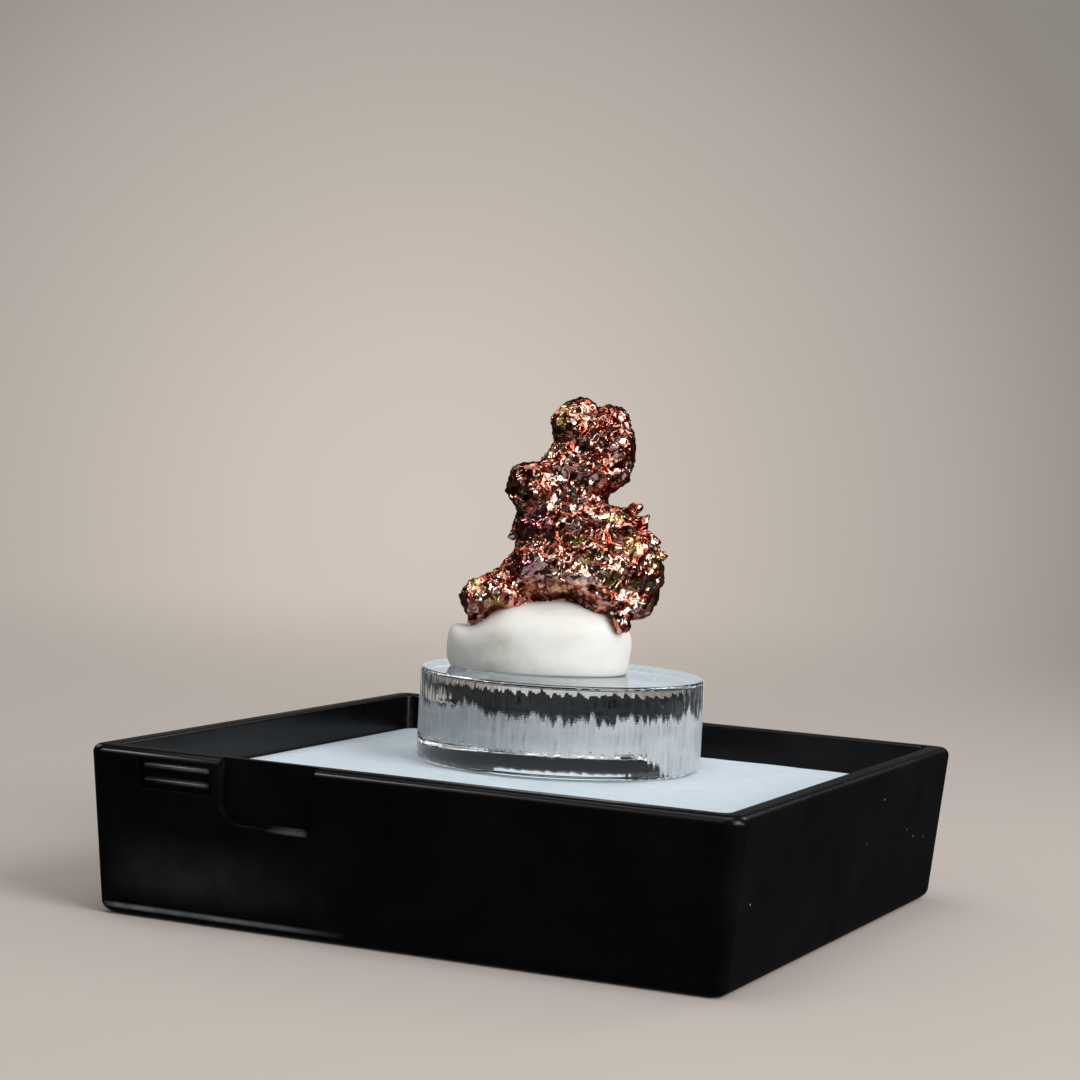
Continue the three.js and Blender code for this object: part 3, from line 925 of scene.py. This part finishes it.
def flatten_cells(mesh, size, lean, most, on_wing):
    """Turns the skin into flat crystal faces, one for each cell of about this size, leaning at random.

    Returns a tone from 0 to 1 for each vertex, the same all over a face.
    """
    cells = {}
    for vert in mesh.vertices:
        nearest = noise.voronoi(vert.co / (size * MM))[1][0]
        cells.setdefault(tuple(round(c, 3) for c in nearest), []).append(vert.index)
    normals = [vert.normal.copy() for vert in mesh.vertices]
    tones = [0.0] * len(mesh.vertices)
    for key, members in cells.items():
        middle = sum((mesh.vertices[i].co for i in members), Vector()) / len(members)
        normal = sum((normals[i] for i in members), Vector()).normalized()
        facing = (normal + lean * noise.noise_vector(Vector(key) * FACE_LEAN_PACE)).normalized()
        for i in members:
            vert = mesh.vertices[i]
            height = (middle - vert.co).dot(facing) / max(normal.dot(facing), FACE_LEAST_TURN)
            local = facing_viewer(vert.co)
            calm = 1 - SHOULDER_CALM * patch_at(local, SHOULDER)
            limit = calm * (on_wing if in_wing(local) else most) * MM
            vert.co += normal * min(max(height, -limit), limit)
            tones[i] = 0.5 + 0.5 * noise.noise(Vector(key) * FACE_TONE_PACE)
    return tones


def hollow_of(obj):
    """How deep each vertex lies below the smoothed skin, from 0 to 1."""
    smooth = smoothed(new_object("smooth", obj.data.copy()), HOLLOW_ROUNDS)
    pairs = zip(obj.data.vertices, smooth.data.vertices)
    depths = [(soft.co - vert.co).dot(soft.normal) / (HOLLOW_DEPTH * MM) for vert, soft in pairs]
    bpy.data.objects.remove(smooth)
    return [min(max(depth, 0), 1) for depth in depths]


def set_attribute(mesh, name, values):
    """Keeps a number at each of the mesh's points."""
    mesh.attributes.new(name, "FLOAT", "POINT").data.foreach_set("value", values)


def make_nugget():
    """The solid with nodules under one fine skin, which is dented, cut into crystal faces, tarnished and
    given painted shade in its hollows and under its overhangs.
    """
    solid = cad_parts["copper_nugget"].data
    nugget = new_object("nugget_crystals", solid.copy())
    remeshed(nugget, BASE_VOXEL)
    smoothed(nugget, BASE_ROUNDS)
    nugget.data = with_nodules(nugget.data, solid)
    remeshed(nugget, VOXEL)
    mesh = nugget.data
    dent(mesh)
    # The faces' leans come from this seed, so that each run gives the same nugget.
    noise.seed_set(FACE_SEED)
    flatten_cells(mesh, **LARGE_FACES)
    tones = flatten_cells(mesh, **SMALL_FACES)
    smoothed(nugget, FACE_ROUNDS)
    mesh = nugget.data
    set_attribute(mesh, "tone", tones)
    hollows = hollow_of(nugget)
    for name, patches in TARNISH_AND_SHADE.items():
        strengths = tarnish_or_shade_of(mesh, patches)
        # Painted shade in the hollows: their depth below the smoothed skin darkens them, as the dark patches
        # do.
        if name == "dark":
            strengths = [max(pair) for pair in zip(strengths, hollows)]
        set_attribute(mesh, name, strengths)
    shade_smooth(mesh)
    mesh.materials.clear()
    mesh.materials.append(native_copper())
    return nugget


# Stage


def make_floor():
    """A pale floor that fades out away from the object, so that no horizon shows."""
    mesh = bpy.data.meshes.new("floor")
    bm = bmesh.new()
    bmesh.ops.create_circle(bm, cap_ends=True, radius=FLOOR_RADIUS * MM, segments=96)
    bm.to_mesh(mesh)
    bm.free()
    floor = new_object("floor", mesh)
    colour = (*FLOOR_COLOUR, 1)
    sockets = {"Base Color": colour, "Roughness": 0.9, "Specular IOR Level": 0.1}
    material, tree, shader = new_material("pale_floor", sockets)
    distance = add(tree, "ShaderNodeVectorMath", operation="LENGTH")
    tree.links.new(place(tree), distance.inputs[0])
    fade = span(tree, distance.outputs["Value"], 1, 0, *FLOOR_FADE, kind="SMOOTHERSTEP")
    tree.links.new(fade, shader.inputs["Alpha"])
    mesh.materials.append(material)
    floor.visible_glossy = False


def make_flag():
    """A dark card behind the tray that shows only through clear acrylic, to give it a dark band."""
    right, away = viewer_axes()
    middle = DISC_CENTRE.to_2d().to_3d() + away * (DISC_RADIUS + FLAG_BEHIND)
    corners = [(-1, FLAG_HEIGHTS[0]), (1, FLAG_HEIGHTS[0]), (1, FLAG_HEIGHTS[1]), (-1, FLAG_HEIGHTS[1])]
    points = [middle + right * side * FLAG_REACH + Vector((0, 0, z)) for side, z in corners]
    flag = new_object("flag", mesh_from("flag", points, [[0, 1, 2, 3]]))
    sockets = {"Base Color": (0.01, 0.01, 0.01, 1), "Roughness": 0.9, "Specular IOR Level": 0.0}
    flag.data.materials.append(new_material("dark_card", sockets)[0])
    for ray in ("camera", "diffuse", "glossy", "shadow"):
        setattr(flag, f"visible_{ray}", False)


def make_world():
    """A backdrop that is palest behind the object, in a room; both are dimmer in mirror images."""
    world = bpy.data.worlds.new("studio")
    world.use_nodes = True
    tree = world.node_tree
    source = add(tree, "ShaderNodeTexCoord")
    aside = add(tree, "ShaderNodeVectorMath", operation="DOT_PRODUCT")
    aside.inputs[1].default_value = pixel_direction(*BACKDROP_PIXEL)
    tree.links.new(source.outputs["Generated"], aside.inputs[0])
    angle = add(tree, "ShaderNodeMath", operation="ARCCOSINE")
    tree.links.new(aside.outputs["Value"], angle.inputs[0])
    colour = ramp(tree, span(tree, angle.outputs["Value"], 0, 1, 0, BACKDROP_REACH), BACKDROP_STOPS)
    path = add(tree, "ShaderNodeLightPath")
    room = add(tree, "ShaderNodeMix", data_type="FLOAT")
    tree.links.new(span(tree, angle.outputs["Value"], 0, 1, *BACKDROP_EDGE), room.inputs["Factor"])
    for socket, mirrored in (("A", MIRRORED_BACKDROP), ("B", MIRRORED_ROOM)):
        tree.links.new(span(tree, path.outputs["Is Glossy Ray"], 1, mirrored), room.inputs[socket])
    background = tree.nodes["Background"]
    tree.links.new(colour, background.inputs["Color"])
    tree.links.new(room.outputs["Result"], background.inputs["Strength"])
    bpy.context.scene.world = world


def viewer_axes():
    """The level directions to the viewer's right and away from the viewer."""
    right = Vector((math.cos(YAW), math.sin(YAW), 0))
    away = Vector((-math.sin(YAW), math.cos(YAW), 0))
    return right, away


def camera_axes():
    """The directions across, up and into the picture."""
    right, away = viewer_axes()
    forward = away * math.cos(PITCH) - Vector((0, 0, math.sin(PITCH)))
    up = right.cross(forward)
    across = math.cos(ROLL) * right + math.sin(ROLL) * up
    upward = math.cos(ROLL) * up - math.sin(ROLL) * right
    return across, upward, forward


def pixel_direction(x, y):
    """The direction in which the camera sees a pixel of the photograph."""
    across, upward, forward = camera_axes()
    focal = LENS / SENSOR * PHOTO_WIDTH
    middle = PHOTO_WIDTH / 2
    return (forward + across * (x - middle) / focal - upward * (y - middle) / focal).normalized()


def add_lamp(name, offset, size, watts, mirrored_only=False, only=None):
    """A square soft lamp, placed right, away and up from the nugget as the viewer sees it.

    It may show only in mirror images, and only on one piece.
    """
    right, away = viewer_axes()
    target = LAMP_TARGET * MM
    position = target + (right * offset[0] + away * offset[1] + Vector((0, 0, offset[2]))) * MM
    data = bpy.data.lights.new(name, "AREA")
    data.size = size * MM
    data.energy = watts
    lamp = new_object(name, data)
    lamp.location = position
    lamp.rotation_euler = (target - position).to_track_quat("-Z", "Y").to_euler()
    lamp.visible_camera = False
    lamp.visible_diffuse = not mirrored_only
    if only is not None:
        receivers = bpy.data.collections.new(name)
        receivers.objects.link(only)
        lamp.light_linking.receiver_collection = receivers
    return lamp


def make_lamps(disc, nugget):
    """Soft lamps all round, one that glints on the nugget, and a bluish one that glares on the disc."""
    add_lamp("key", (195, -190, 150), size=190, watts=0.9)
    add_lamp("front_left", (-183, -83, 168), size=40, watts=0.16, mirrored_only=True)
    add_lamp("left_fill", (-200, -120, 150), size=120, watts=0.05)
    add_lamp("low_right", (240, -90, 50), size=60, watts=0.08)
    add_lamp("top", (-30, -10, 300), size=200, watts=0.3)
    add_lamp("back_left", (-200, 220, 160), size=100, watts=0.08)
    add_lamp("back_right", (200, 200, 190), size=100, watts=0.12)
    add_lamp("low_front", (50, -230, 0), size=70, watts=0.1, mirrored_only=True, only=nugget)
    glare = add_lamp("low_back", (0, 300, 60), size=200, watts=0.1, mirrored_only=True, only=disc)
    glare.data.color = (0.8, 0.93, 1.0)


def make_camera():
    """The camera that took the photograph, as fitted."""
    across, upward, forward = camera_axes()
    data = bpy.data.cameras.new("photo_view")
    data.sensor_width = SENSOR
    data.lens = LENS
    data.clip_start = CLIP_START * MM
    camera = new_object("photo_view", data)
    turn = Matrix((across, upward, -forward)).transposed().to_4x4()
    camera.matrix_world = Matrix.Translation(EYE * MM) @ turn
    bpy.context.scene.camera = camera


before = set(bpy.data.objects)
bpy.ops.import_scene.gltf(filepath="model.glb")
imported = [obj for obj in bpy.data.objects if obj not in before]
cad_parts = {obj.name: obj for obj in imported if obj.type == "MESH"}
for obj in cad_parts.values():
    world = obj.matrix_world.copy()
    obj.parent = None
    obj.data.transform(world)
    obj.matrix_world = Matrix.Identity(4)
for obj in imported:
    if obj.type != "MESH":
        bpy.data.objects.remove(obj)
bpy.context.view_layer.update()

make_floor()
make_flag()
make_world()
make_camera()
bpy.context.scene.view_settings.view_transform = "Standard"

pad = make_pad()
disc = make_disc()
nugget = make_nugget()
make_lamps(disc, nugget)

for piece, node, slot in (
    (make_tray(), "box_tray", "black_plastic"),
    (pad, "foam_pad", "white_foam"),
    (disc, "acrylic_disc", "clear_acrylic"),
    (make_putty(), "mounting_putty", "white_putty"),
    (nugget, "copper_nugget", "native_copper"),
):
    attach(piece, "root")
    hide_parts(node)
